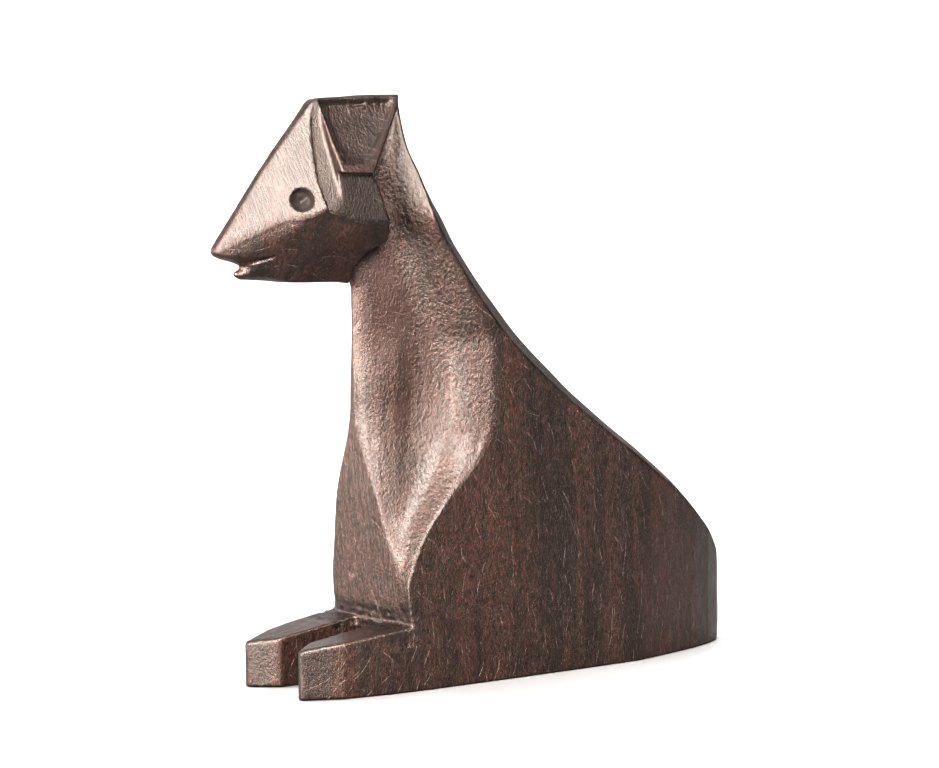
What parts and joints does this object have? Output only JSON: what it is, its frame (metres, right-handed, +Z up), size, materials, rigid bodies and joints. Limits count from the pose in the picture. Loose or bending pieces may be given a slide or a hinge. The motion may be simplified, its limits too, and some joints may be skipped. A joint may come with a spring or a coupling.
{
  "type": "carved wooden animal figurine",
  "caption": "Small animal at rest, carved from one block of dark hardwood, with a raised neck, a pointed head and forelegs stretched forward on a flat base.",
  "frame": {"origin": "on the plane that the figure rests on, under the middle of its bounding box", "axes": "+Z up; the nose points towards -Y and the rump towards +Y; X runs across the figure, whose mid-plane is X = 0"},
  "size_m": [0.0176, 0.0706, 0.065],
  "materials": {
    "dark_wood": "oiled and rubbed, satin, tool-dimpled"
  },
  "bodies": {
    "root": {"carved_figure": "dark_wood"}
  },
  "joints": []
}
